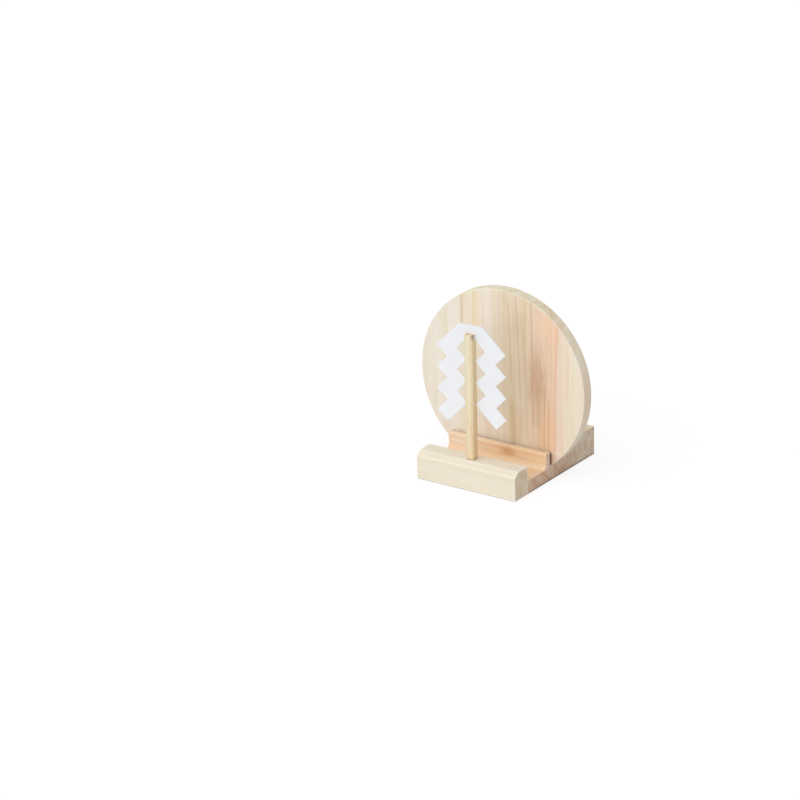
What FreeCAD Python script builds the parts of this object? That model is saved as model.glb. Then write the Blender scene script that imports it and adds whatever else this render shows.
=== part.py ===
import FreeCAD, Part
import math
import os

# Talisman stand for a household shrine: a grooved wooden base, a round backboard
# and a stick that carries a zigzag paper streamer.
# Millimetres. +Z up, the front faces -Y, origin on the floor at the middle of the footprint.

# Base, seen from the side, front to back
base_width = 82.0
front_block_depth = 16.5
front_block_height = 20.6
chamfer_rise = 3.5
chamfer_run = 4.7
board_height = 21.0
trough_floor_height = 10.0
trough_width = 24.0
trough_corner_radius = 3.0
rail_thickness = 4.6
talisman_slot = 2.7
groove_floor_height = 11.0
rear_block_depth = 46.6
eased_edge = 0.5

# Round backboard with a flat foot
disc_diameter = 136.0
disc_thickness = 9.6
disc_centre_rise = 54.3
disc_edge_radius = 0.6

# Stick, which stands turned a little about its own axis
post_side = 6.0
post_setback = 5.8
post_turn = 4.5
post_height = 92.8
tenon_depth = 9.0
tenon_clearance = 0.1
post_cheek = 3.5
streamer_seat_depth = 4.0

# Zigzag streamer, laid out on a square module
streamer_thickness = 0.8
streamer_clearance = 0.05
streamer_post_gap = 0.2
zigzag_module = 8.0
zigzag_teeth = 3
arm_modules = 3
streamer_top_half_width = 9.0

# Lines that several pieces share, measured from the front face of the base
trough_back = front_block_depth + trough_width
rail_back = trough_back + rail_thickness
disc_front = rail_back + talisman_slot
disc_back = disc_front + disc_thickness
base_depth = disc_back + rear_block_depth
origin_setback = base_depth / 2
post_axis = post_setback + post_side / 2 - origin_setback
post_top = front_block_height + post_height
streamer_seat = post_top - streamer_seat_depth
half_width = base_width / 2


def corner(y, z, radius=0.0):
    """One corner of a side profile: depth from the front face, height and rounding."""
    return FreeCAD.Vector(0, y - origin_setback, z), radius


def rounded_outline(corners):
    """Closed wire through the corners, with a tangent arc where a corner has a radius."""
    starts = []
    ends = []
    arcs = []
    count = len(corners)
    for index, (point, radius) in enumerate(corners):
        to_last = (corners[index - 1][0] - point).normalize()
        to_next = (corners[(index + 1) % count][0] - point).normalize()
        half_angle = to_last.getAngle(to_next) / 2
        reach = radius / math.tan(half_angle)
        starts.append(point + to_last * reach)
        ends.append(point + to_next * reach)
        bisector = (to_last + to_next).normalize()
        arcs.append(point + bisector * (radius / math.sin(half_angle) - radius))
    edges = []
    for index, (point, radius) in enumerate(corners):
        if radius > 0:
            edges.append(Part.Arc(starts[index], arcs[index], ends[index]).toShape())
        following = (index + 1) % count
        edges.append(Part.LineSegment(ends[index], starts[following]).toShape())
    return Part.Wire(edges)


def moulding(corners):
    """A side profile carried across the full width of the base."""
    face = Part.Face(rounded_outline(corners))
    face.translate(FreeCAD.Vector(-half_width, 0, 0))
    return face.extrude(FreeCAD.Vector(base_width, 0, 0))


def post_box(side, bottom, top):
    """Upright square bar on the post's axis, from one height to another."""
    corner_point = FreeCAD.Vector(-side / 2, post_axis - side / 2, bottom)
    return Part.makeBox(side, side, top - bottom, corner_point)


def turned(shape):
    """A shape drawn square to the base, turned about the post's axis."""
    shape.rotate(FreeCAD.Vector(0, post_axis, 0), FreeCAD.Vector(0, 0, 1), post_turn)
    return shape


def make_front_block():
    """Bar with a sloped front edge and a square mortise for the post."""
    bar = moulding([
        corner(0, 0),
        corner(0, front_block_height - chamfer_rise, eased_edge),
        corner(chamfer_run, front_block_height, eased_edge),
        corner(front_block_depth, front_block_height, eased_edge),
        corner(front_block_depth, 0),
    ])
    mortise_side = post_side + 2 * tenon_clearance
    mortise = post_box(mortise_side, front_block_height - tenon_depth, front_block_height + eased_edge)
    return bar.cut(turned(mortise))


def make_base_board():
    """Grooved board: open trough, thin rail, groove for talisman and disc, rear block."""
    return moulding([
        corner(front_block_depth, 0),
        corner(front_block_depth, trough_floor_height),
        corner(trough_back, trough_floor_height, trough_corner_radius),
        corner(trough_back, board_height, eased_edge),
        corner(rail_back, board_height, eased_edge),
        corner(rail_back, groove_floor_height),
        corner(disc_back, groove_floor_height),
        corner(disc_back, board_height, eased_edge),
        corner(base_depth, board_height, eased_edge),
        corner(base_depth, 0),
    ])


def make_round_backboard():
    """Upright disc with softened rims, cut flat where it stands in the groove."""
    radius = disc_diameter / 2
    section = rounded_outline([
        corner(disc_front, 0),
        corner(disc_front, radius, disc_edge_radius),
        corner(disc_back, radius, disc_edge_radius),
        corner(disc_back, 0),
    ])
    axis = FreeCAD.Vector(0, 1, 0)
    disc = Part.Face(section).revolve(FreeCAD.Vector(0, 0, 0), axis, 360)
    disc.translate(FreeCAD.Vector(0, 0, groove_floor_height + disc_centre_rise))
    above_foot = Part.makeBox(
        disc_diameter,
        disc_thickness,
        disc_diameter,
        FreeCAD.Vector(-radius, disc_front - origin_setback, groove_floor_height),
    )
    return disc.common(above_foot)


def make_post():
    """Square stick: tenon in the block, slot at the top for the streamer."""
    post = post_box(post_side, front_block_height - tenon_depth, post_top)
    slot_width = streamer_thickness + 2 * streamer_clearance
    slot_start = post_axis - post_side / 2 + post_cheek
    slot = Part.makeBox(
        post_side,
        slot_width,
        streamer_seat_depth,
        FreeCAD.Vector(-post_side / 2, slot_start, streamer_seat),
    )
    return turned(post.cut(slot))


def streamer_outline():
    """Right half of the streamer, from its top corner down and back up to the seat."""
    inner = post_side / 2 + streamer_post_gap
    outer = inner + arm_modules * zigzag_module
    shoulder = streamer_seat - zigzag_module
    top = shoulder + outer - streamer_top_half_width
    points = [(streamer_top_half_width, top), (outer, shoulder)]
    for tooth in range(zigzag_teeth):
        notch = shoulder - (2 * tooth + 1) * zigzag_module
        points.append((outer - zigzag_module, notch))
        points.append((outer, notch - zigzag_module))
    foot = shoulder - 2 * zigzag_teeth * zigzag_module
    points.append((outer - zigzag_module, foot - zigzag_module))
    points.append((inner, foot + zigzag_module))
    for tooth in range(zigzag_teeth):
        notch = foot + 2 * (tooth + 1) * zigzag_module
        points.append((inner + zigzag_module, notch))
        points.append((inner, notch + zigzag_module))
    return points


def make_streamer():
    """Flat zigzag streamer hung over the post's slot."""
    right = streamer_outline()
    left = [(-x, z) for x, z in reversed(right)]
    front = post_axis - post_side / 2 + post_cheek + streamer_clearance
    corners = [FreeCAD.Vector(x, front, z) for x, z in right + left]
    corners.append(corners[0])
    sheet = Part.Face(Part.makePolygon(corners))
    return turned(sheet.extrude(FreeCAD.Vector(0, streamer_thickness, 0)))


def main():
    """Build each piece and write it to its own file."""
    pieces = {
        "front_block": make_front_block(),
        "base_board": make_base_board(),
        "round_backboard": make_round_backboard(),
        "post": make_post(),
        "streamer": make_streamer(),
    }
    os.makedirs("parts", exist_ok=True)
    for name, shape in pieces.items():
        shape.exportStep(f"parts/{name}.step")
        print(name, shape.isValid(), len(shape.Solids), round(shape.Volume, 1), shape.BoundBox)


main()
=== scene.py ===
import logging
import math
from dataclasses import dataclass
from enum import Enum
from typing import Callable, Optional, Union

import bmesh
import bpy
from mathutils import Matrix, Vector

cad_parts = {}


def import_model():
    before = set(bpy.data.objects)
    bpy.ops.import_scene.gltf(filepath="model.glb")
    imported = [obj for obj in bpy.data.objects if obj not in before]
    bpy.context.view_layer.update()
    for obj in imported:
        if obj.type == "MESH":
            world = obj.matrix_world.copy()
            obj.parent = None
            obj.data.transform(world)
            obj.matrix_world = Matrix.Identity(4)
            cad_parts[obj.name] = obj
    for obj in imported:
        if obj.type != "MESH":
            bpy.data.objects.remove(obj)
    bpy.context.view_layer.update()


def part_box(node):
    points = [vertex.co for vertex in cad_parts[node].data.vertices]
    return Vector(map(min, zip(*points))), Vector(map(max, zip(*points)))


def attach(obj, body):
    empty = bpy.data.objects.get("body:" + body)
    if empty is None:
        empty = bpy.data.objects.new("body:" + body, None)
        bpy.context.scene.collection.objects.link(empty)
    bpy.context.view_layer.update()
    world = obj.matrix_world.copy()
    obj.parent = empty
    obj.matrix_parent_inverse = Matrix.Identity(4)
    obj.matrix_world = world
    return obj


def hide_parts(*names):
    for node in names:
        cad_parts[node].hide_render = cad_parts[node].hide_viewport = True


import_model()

# A talisman stand of bare wood: grooved base, round backboard, and a stick with a zigzag streamer.
# Metres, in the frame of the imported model: +Z up, the front faces -Y, the floor is at height 0.
# Wood is described in millimetres in its own log: the grain runs along the log's third axis.

MM = 0.001

log = logging.getLogger("talisman_stand")

Node = bpy.types.Node
Socket = bpy.types.NodeSocket
Sockets = dict[str, Socket]
Triple = tuple[float, float, float]
Colour = tuple[float, float, float, float]
Feed = Union[Socket, float, tuple]
Feeds = dict[Union[str, int], Feed]
Outline = list[Vector]

ORIGIN: Triple = (0.0, 0.0, 0.0)

# The curve of display values: its straight foot, and the bend above it
FOOT_END, FOOT_SLOPE = 0.04045, 12.92
BEND_LIFT, BEND_POWER = 0.055, 2.4


def paint(red: int, green: int, blue: int) -> Colour:
    """A colour named by its display values, in the linear values that a shader takes.

    Args:
        red: Red, 0 to 255.
        green: Green, 0 to 255.
        blue: Blue, 0 to 255.

    Returns:
        Linear red, green and blue, with full cover.
    """
    linear = []
    for share in (red / 255, green / 255, blue / 255):
        bent = ((share + BEND_LIFT) / (1 + BEND_LIFT)) ** BEND_POWER
        linear.append(share / FOOT_SLOPE if share <= FOOT_END else bent)
    return (*linear, 1.0)


# Node graphs

# Sums on vectors whose result is a plain number
PLAIN_RESULTS = ("DOT_PRODUCT", "LENGTH")

# Where a Mix node keeps its two colours and their mix
MIX_UNDER, MIX_OVER, MIX_RESULT = 6, 7, 2

# The middle of a noise's colours
MIDDLE_GREY: Triple = (0.5, 0.5, 0.5)


class Wiring:
    """Adds nodes to one node tree and joins their sockets."""

    def __init__(self, tree: bpy.types.NodeTree) -> None:
        """Starts on a tree, which may already hold nodes."""
        self.tree = tree

    def feed(self, socket: Socket, value: Feed) -> None:
        """Gives a socket its value, or joins it to the socket that does.

        Args:
            socket: The input to fill.
            value: An output socket, a number or a colour or vector.
        """
        if isinstance(value, Socket):
            self.tree.links.new(value, socket)
        else:
            socket.default_value = value

    def node(self, kind: str, feeds: Optional[Feeds] = None, **settings) -> Node:
        """Adds a node.

        Args:
            kind: Blender's name for the type of node.
            feeds: What its inputs get, by name or place, if anything.
            settings: The node's own properties.

        Returns:
            The new node.
        """
        made = self.tree.nodes.new(kind)
        for name, value in settings.items():
            setattr(made, name, value)
        for key, value in (feeds or {}).items():
            self.feed(made.inputs[key], value)
        return made

    def first(self, kind: str, feeds: Optional[Feeds] = None, **settings) -> Socket:
        """Adds a node and gives its first output."""
        return self.node(kind, feeds, **settings).outputs[0]

    def math(self, operation: str, first: Feed, second: Feed = 0.0, third: Feed = 0.0) -> Socket:
        """One sum on plain numbers, and the socket that gives its result."""
        return self.first("ShaderNodeMath", {0: first, 1: second, 2: third}, operation=operation)

    def vector(self, operation: str, first: Feed, second: Feed = ORIGIN) -> Socket:
        """One sum on vectors, and the socket that gives its result, a vector or a number."""
        made = self.node("ShaderNodeVectorMath", {0: first, 1: second}, operation=operation)
        return made.outputs["Value" if operation in PLAIN_RESULTS else "Vector"]

    def rise(self, value: Feed, low: Feed, high: Feed) -> Socket:
        """A soft step from 0 at the low value to 1 at the high one, or down if low is larger."""
        feeds = {"Value": value, "From Min": low, "From Max": high}
        return self.first("ShaderNodeMapRange", feeds, interpolation_type="SMOOTHSTEP")

    def noise(self, vector: Feed, stretch: Triple, detail: float = 2.0) -> Node:
        """Cloudy noise whose grains have a given size on each axis.

        Args:
            vector: Where the noise is read.
            stretch: Size of a grain along each axis, in the vector's own units.
            detail: How many finer layers it holds.

        Returns:
            The noise node.
        """
        place = self.vector("MULTIPLY", vector, tuple(1 / length for length in stretch))
        return self.node("ShaderNodeTexNoise", {"Vector": place, "Scale": 1.0, "Detail": detail})

    def wander(self, place: Feed, stretch: Triple) -> Socket:
        """A cloudy push to every side, at most half a unit."""
        return self.vector("SUBTRACT", self.noise(place, stretch).outputs["Color"], MIDDLE_GREY)

    def lay(
        self, colour: Feed, tone: Feed, mask: Feed, cover: float = 1.0, mode: str = "MIX"
    ) -> Socket:
        """Lays a tone on a colour.

        Args:
            colour: The colour underneath.
            tone: The tone on top.
            mask: Where the tone shows, 0 to 1.
            cover: How much of it shows there, 0 to 1.
            mode: How the two meet, by Blender's name.

        Returns:
            The socket with the mixed colour.
        """
        feeds = {0: self.math("MULTIPLY", mask, cover), MIX_UNDER: colour, MIX_OVER: tone}
        made = self.node("ShaderNodeMix", feeds, data_type="RGBA", blend_type=mode)
        return made.outputs[MIX_RESULT]

    def glaze(self, colour: Feed, tint: Feed, mask: Feed, cover: float = 1.0) -> Socket:
        """Multiplies a colour by a tint where a mask is, as far as the cover says."""
        return self.lay(colour, tint, mask, cover, "MULTIPLY")

    def in_millimetres(self, turn: Triple = ORIGIN, shift: Triple = ORIGIN) -> Socket:
        """The place on the object in millimetres.

        Args:
            turn: A turn about each axis.
            shift: How far the place is then moved, in millimetres.

        Returns:
            The socket with the place.
        """
        here = self.node("ShaderNodeTexCoord").outputs["Object"]
        feeds = {"Vector": here, "Scale": (1 / MM,) * 3, "Rotation": turn, "Location": shift}
        return self.first("ShaderNodeMapping", feeds)

    def surface(self, colour: Socket, rough: Socket, height: Socket, relief: float) -> None:
        """Ends a material as one plain surface.

        Args:
            colour: Its colour.
            rough: Its roughness.
            height: The pattern of its relief.
            relief: How far a height of 1 stands up, in metres.
        """
        bump = self.first("ShaderNodeBump", {"Height": height, "Distance": relief, "Strength": 1.0})
        feeds = {"Base Color": colour, "Roughness": rough, "Normal": bump}
        shader = self.first("ShaderNodeBsdfPrincipled", feeds)
        self.node("ShaderNodeOutputMaterial", {"Surface": shader})


def by_name(node: Node) -> Sockets:
    """A node's outputs, by their names."""
    return {socket.name: socket for socket in node.outputs if socket.name}


def start_material(name: str) -> tuple[bpy.types.Material, Wiring]:
    """A material with an empty graph.

    Args:
        name: The material's name.

    Returns:
        The material, and the wiring of its graph.
    """
    made = bpy.data.materials.new(name)
    made.use_nodes = True
    made.node_tree.nodes.clear()
    return made, Wiring(made.node_tree)


@dataclass(frozen=True)
class SharedEffect:
    """A shader node group that several finishes place, each with its own values."""

    name: str
    inputs: dict[str, Union[float, Triple]]
    outputs: tuple[str, ...]
    wire: Callable[[Wiring, Sockets], Sockets]

    def tree(self) -> bpy.types.NodeTree:
        """The group itself, built the first time it is asked for.

        Returns:
            The shader node tree.
        """
        if self.name in bpy.data.node_groups:
            return bpy.data.node_groups[self.name]
        tree = bpy.data.node_groups.new(self.name, "ShaderNodeTree")
        for label, value in self.inputs.items():
            kind = "NodeSocketVector" if isinstance(value, tuple) else "NodeSocketFloat"
            socket = tree.interface.new_socket(label, in_out="INPUT", socket_type=kind)
            socket.default_value = value
        for label in self.outputs:
            tree.interface.new_socket(label, in_out="OUTPUT", socket_type="NodeSocketFloat")
        wiring = Wiring(tree)
        wiring.node("NodeGroupOutput", self.wire(wiring, by_name(wiring.node("NodeGroupInput"))))
        return tree

    def place(self, wiring: Wiring, feeds: Feeds) -> Sockets:
        """Puts the group into a material.

        Args:
            wiring: The material's graph.
            feeds: What its inputs get there.

        Returns:
            The group's outputs, by name.
        """
        return by_name(wiring.node("ShaderNodeGroup", feeds, node_tree=self.tree()))


# Effects that the finishes share

# Sizes of the noises' grains, in the log's millimetres
WAVER_GRAIN = (45.0, 45.0, 160.0)
KINK_GRAIN = (9.0, 9.0, 60.0)
FIBRE_GRAIN = (0.3, 0.3, 10.0)
DRIFT_GRAIN = (20.0, 20.0, 130.0)
MOTTLE_GRAIN = (4.0, 9.0, 60.0)
PORE_GRAIN = (0.22, 0.22, 0.8)
EDGE_MARK_GRAIN = (3.0, 3.0, 3.0)
STAIN_GRAIN = (3.0, 5.0, 14.0)

# The streaks' length, and one streak as the unit of a place that is counted in streaks
STREAK_LENGTH = 150.0
ONE_STREAK = (1.0, 1.0, 1.0)

# How much the fine kinks add to the rings' wide waver
KINK_SHARE = 0.22

# How far from its straight line the figure leans, and how near to it the lean is full
LEAN_REACH = 40.0
LEAN_CORE = 16.0

# How unevenly the rings follow one another, and how they differ in strength
SEASON_RHYTHM = 0.23
SEASON_SWING = 4.0
RARE_DARK_RINGS = 2.5
FAINTEST_RING = 0.15

# Where soft steps start and end
LATEWOOD_GROWTH = (0.3, 0.9)
WINTER_STOP = (1.0, 0.92)
CUT_FACING = (0.3, 0.92)
PORE_STEP = (0.42, 0.72)
MOTTLE_STEP = (0.36, 0.66)
CORNER_TURN = (0.997, 0.93)
EDGE_MARK_STEP = (0.15, 0.5)
STAIN_EDGE = (1.1, 0.15)

# Rays per point
CORNER_SAMPLES = 6
SKY_SAMPLES = 16


def wire_rings(wiring: Wiring, years: Socket) -> Socket:
    """The dark part of each growth ring, on rings of uneven width and strength.

    Args:
        wiring: The group's graph.
        years: Distance from the pith, counted in rings.

    Returns:
        The socket with 1 where a ring is darkest and 0 in its pale part.
    """
    feeds = {"W": years, "Scale": SEASON_RHYTHM, "Detail": 1.0}
    season = wiring.first("ShaderNodeTexNoise", feeds, noise_dimensions="1D")
    uneven = wiring.math("MULTIPLY_ADD", season, SEASON_SWING, years)
    in_ring = wiring.math("FRACT", uneven)
    growth = wiring.rise(in_ring, *LATEWOOD_GROWTH)
    stop = wiring.rise(in_ring, *WINTER_STOP)
    number = {"W": wiring.math("FLOOR", uneven)}
    luck = wiring.first("ShaderNodeTexWhiteNoise", number, noise_dimensions="1D")
    rare = wiring.math("POWER", luck, RARE_DARK_RINGS)
    strength = wiring.math("MULTIPLY_ADD", rare, 1 - FAINTEST_RING, FAINTEST_RING)
    return wiring.math("MULTIPLY", wiring.math("MULTIPLY", growth, stop), strength)


def wire_wood_figure(wiring: Wiring, given: Sockets) -> Sockets:
    """Growth rings about a log's pith, with the fibres and streaks that run along it.

    Args:
        wiring: The group's graph.
        given: Its inputs. The vector is in millimetres, with the pith along the third axis.

    Returns:
        Across, the distance from the pith over the board's width; Latewood, the dark part of
        each ring; Streak, Fibre and Drift, which are tones at three scales.
    """
    place, width = given["Vector"], given["Streak Width"]
    kinks = wiring.vector("MULTIPLY", wiring.wander(place, KINK_GRAIN), (KINK_SHARE,) * 3)
    sway = wiring.vector("ADD", wiring.wander(place, WAVER_GRAIN), kinks)
    bent = wiring.vector("ADD", place, wiring.vector("MULTIPLY", sway, given["Waver"]))
    straight = by_name(wiring.node("ShaderNodeSeparateXYZ", {0: place}))
    wavy = by_name(wiring.node("ShaderNodeSeparateXYZ", {0: bent}))

    side = wiring.math("SUBTRACT", straight["X"], given["Straight At"])
    limits = {"From Min": -LEAN_REACH, "From Max": LEAN_REACH, "To Min": 1.0, "To Max": -1.0}
    share = wiring.first("ShaderNodeMapRange", {"Value": side, **limits})
    near = wiring.rise(wiring.math("ABSOLUTE", side), LEAN_REACH, LEAN_CORE)
    slope = wiring.math("MULTIPLY", wiring.math("MULTIPLY", share, near), given["Lean"])
    height = wiring.math("SUBTRACT", straight["Z"], given["Middle"])
    across = wiring.math("MULTIPLY_ADD", slope, height, wavy["X"])

    square = wiring.math("MULTIPLY", across, across)
    deep = wiring.math("MULTIPLY", wavy["Y"], wavy["Y"])
    radius = wiring.math("SQRT", wiring.math("ADD", square, deep))
    streak = wiring.first("ShaderNodeCombineXYZ", {"X": width, "Y": width, "Z": STREAK_LENGTH})
    in_streaks = wiring.vector("DIVIDE", place, streak)
    return {
        "Across": across,
        "Latewood": wire_rings(wiring, wiring.math("DIVIDE", radius, given["Ring Width"])),
        "Streak": wiring.noise(in_streaks, ONE_STREAK, detail=1.0).outputs[0],
        "Fibre": wiring.noise(place, FIBRE_GRAIN, detail=3.0).outputs[0],
        "Drift": wiring.noise(place, DRIFT_GRAIN, detail=1.0).outputs[0],
    }


def wire_cut_ends(wiring: Wiring, given: Sockets) -> Sockets:
    """Where a cut crosses the grain, and the open pores there.

    Args:
        wiring: The group's graph.
        given: Its inputs, with the grain's direction and the place in millimetres.

    Returns:
        Mask, 1 on a face square to the grain, Pores, its fine pits, and Mottle, its cloudy tones.
    """
    place = given["Vector"]
    facing = wiring.node("ShaderNodeTexCoord").outputs["Normal"]
    turn = wiring.math("ABSOLUTE", wiring.vector("DOT_PRODUCT", facing, given["Grain"]))
    mask = wiring.rise(turn, *CUT_FACING)
    pits = wiring.rise(wiring.noise(place, PORE_GRAIN).outputs[0], *PORE_STEP)
    cloud = wiring.rise(wiring.noise(place, MOTTLE_GRAIN).outputs[0], *MOTTLE_STEP)
    pores = wiring.math("MULTIPLY", mask, pits)
    return {"Mask": mask, "Pores": pores, "Mottle": wiring.math("MULTIPLY", mask, cloud)}


def wire_worn_and_highlit_edges(wiring: Wiring, given: Sockets) -> Sockets:
    """Corners worn by sanding and handling, which the wood finishes also light up as a painted
    highlight.

    Args:
        wiring: The group's graph.
        given: Its inputs, with the width of the strip along a corner in metres and the place.

    Returns:
        Mask, 1 on a corner, broken up along it.
    """
    bevel = wiring.first("ShaderNodeBevel", {"Radius": given["Width"]}, samples=CORNER_SAMPLES)
    flat = wiring.node("ShaderNodeNewGeometry").outputs["Normal"]
    corner = wiring.rise(wiring.vector("DOT_PRODUCT", bevel, flat), *CORNER_TURN)
    patchy = wiring.rise(wiring.noise(given["Vector"], EDGE_MARK_GRAIN).outputs[0], *EDGE_MARK_STEP)
    return {"Mask": wiring.math("MULTIPLY", corner, patchy)}


def wire_stain(wiring: Wiring, given: Sockets) -> Sockets:
    """One soft patch of another tone in the wood, drawn out along its grain.

    Args:
        wiring: The group's graph.
        given: Its inputs: the place, the patch's middle and its reach on each axis.

    Returns:
        Mask, 1 in the middle of the patch.
    """
    away = wiring.vector("SUBTRACT", given["Vector"], given["Middle"])
    share = wiring.vector("DIVIDE", away, given["Reach"])
    ragged = wiring.vector("ADD", share, wiring.wander(given["Vector"], STAIN_GRAIN))
    return {"Mask": wiring.rise(wiring.vector("LENGTH", ragged), *STAIN_EDGE)}


def wire_vein(wiring: Wiring, given: Sockets) -> Sockets:
    """One stronger line along the grain, which fades out at its ends.

    Args:
        wiring: The group's graph.
        given: Its inputs: the place across and along the board, the line's own place across,
            its half width, where along the board it starts and ends, and how long its ends fade.

    Returns:
        Mask, 1 in the middle of the line.
    """
    away = wiring.math("ABSOLUTE", wiring.math("SUBTRACT", given["Across"], given["Place"]))
    line = wiring.rise(wiring.math("DIVIDE", away, given["Half Width"]), 1.0, 0.0)
    begun = wiring.rise(wiring.math("SUBTRACT", given["Along"], given["Start"]), 0.0, given["Fade"])
    left = wiring.rise(wiring.math("SUBTRACT", given["End"], given["Along"]), 0.0, given["Fade"])
    return {"Mask": wiring.math("MULTIPLY", line, wiring.math("MULTIPLY", begun, left))}


def wire_painted_crevice_shade(wiring: Wiring, given: Sockets) -> Sockets:
    """Tight corners and grooves, which the wood finishes darken as painted shade and the floor as a
    painted contact shadow.

    Args:
        wiring: The group's graph.
        given: Its inputs, with how far out a neighbour still counts, in metres, and the
            shares of open sky where a place starts to count as tight and where it fully does.

    Returns:
        Mask, 1 deep in a groove and 0 on an open face.
    """
    feeds = {"Distance": given["Reach"]}
    sky = wiring.node("ShaderNodeAmbientOcclusion", feeds, samples=SKY_SAMPLES).outputs["AO"]
    return {"Mask": wiring.rise(sky, given["Open From"], given["Tight From"])}


WOOD_FIGURE = SharedEffect(
    name="wood_figure",
    inputs={
        "Vector": ORIGIN,
        "Ring Width": 2.0,
        "Streak Width": 1.7,
        "Waver": 2.0,
        "Lean": 0.0,
        "Straight At": 0.0,
        "Middle": 0.0,
    },
    outputs=("Across", "Latewood", "Streak", "Fibre", "Drift"),
    wire=wire_wood_figure,
)

CUT_ENDS = SharedEffect(
    name="cut_ends",
    inputs={"Vector": ORIGIN, "Grain": (0.0, 0.0, 1.0)},
    outputs=("Mask", "Pores", "Mottle"),
    wire=wire_cut_ends,
)

WORN_AND_HIGHLIT_EDGES = SharedEffect(
    name="handled_edges",
    inputs={"Vector": ORIGIN, "Width": 0.8 * MM},
    outputs=("Mask",),
    wire=wire_worn_and_highlit_edges,
)

WOOD_STAIN = SharedEffect(
    name="wood_stain",
    inputs={"Vector": ORIGIN, "Middle": ORIGIN, "Reach": (5.0, 5.0, 20.0)},
    outputs=("Mask",),
    wire=wire_stain,
)

WOOD_VEIN = SharedEffect(
    name="wood_vein",
    inputs={
        "Across": 0.0,
        "Along": 0.0,
        "Place": 0.0,
        "Half Width": 1.0,
        "Start": 0.0,
        "End": 100.0,
        "Fade": 14.0,
    },
    outputs=("Mask",),
    wire=wire_vein,
)

# Painted shade: a mask from how little open sky a place sees, which darkens colours in tight
# corners and grooves
PAINTED_CREVICE_SHADE = SharedEffect(
    name="crevices",
    inputs={"Reach": 6.0 * MM, "Open From": 0.34, "Tight From": 0.14},
    outputs=("Mask",),
    wire=wire_painted_crevice_shade,
)


# Finishes

FIBRE_TINT = paint(247, 240, 226)
PORE_TINT = paint(238, 230, 218)

# Where the tones' soft steps start and end, and how far the fibres' tone covers
BLUSH_STEP = (0.35, 0.65)
STREAK_STEP = (0.35, 0.72)
FIBRE_STEP = (0.35, 0.75)
FIBRE_COVER = 0.35
FELT_STEP = (0.4, 0.75)
CARD_CLOUD_STEP = (0.35, 0.7)

# How much stronger the rings show on cut ends
END_RINGS = 0.3

# What each pattern adds to the roughness, and to the height of the relief
END_ROUGHNESS, LATEWOOD_ROUGHNESS, FIBRE_ROUGHNESS = 0.14, -0.08, 0.06
PORE_HEIGHT, LATEWOOD_HEIGHT, FIBRE_HEIGHT = -0.9, 0.5, 0.6


class Grain(Enum):
    """Which way the wood's grain runs in a piece, as the turn that sets it along a log's length."""

    ALONG_WIDTH = (-math.pi / 2, -math.pi / 2, 0.0)
    UPRIGHT = (0.0, 0.0, 0.0)

    @property
    def direction(self) -> Triple:
        """The grain's direction in the piece."""
        return (1.0, 0.0, 0.0) if self is Grain.ALONG_WIDTH else (0.0, 0.0, 1.0)


@dataclass(frozen=True)
class Band:
    """The wood's colour at one place across a board, in millimetres, and how far its rings show."""

    place: float
    colour: Colour
    rings: float = 1.0

    @property
    def stop(self) -> Colour:
        """The colour, with the rings' strength as its cover."""
        return (*self.colour[:3], self.rings)


@dataclass(frozen=True)
class Stain:
    """A patch of another tone, with its middle and reach in the log's millimetres."""

    middle: Triple
    reach: Triple
    colour: Colour
    cover: float


@dataclass(frozen=True)
class Vein:
    """A stronger line along the grain, in millimetres, which fades out at its ends."""

    place: float
    half_width: float
    start: float
    end: float
    colour: Colour
    cover: float
    fade: float = 14.0


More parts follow.
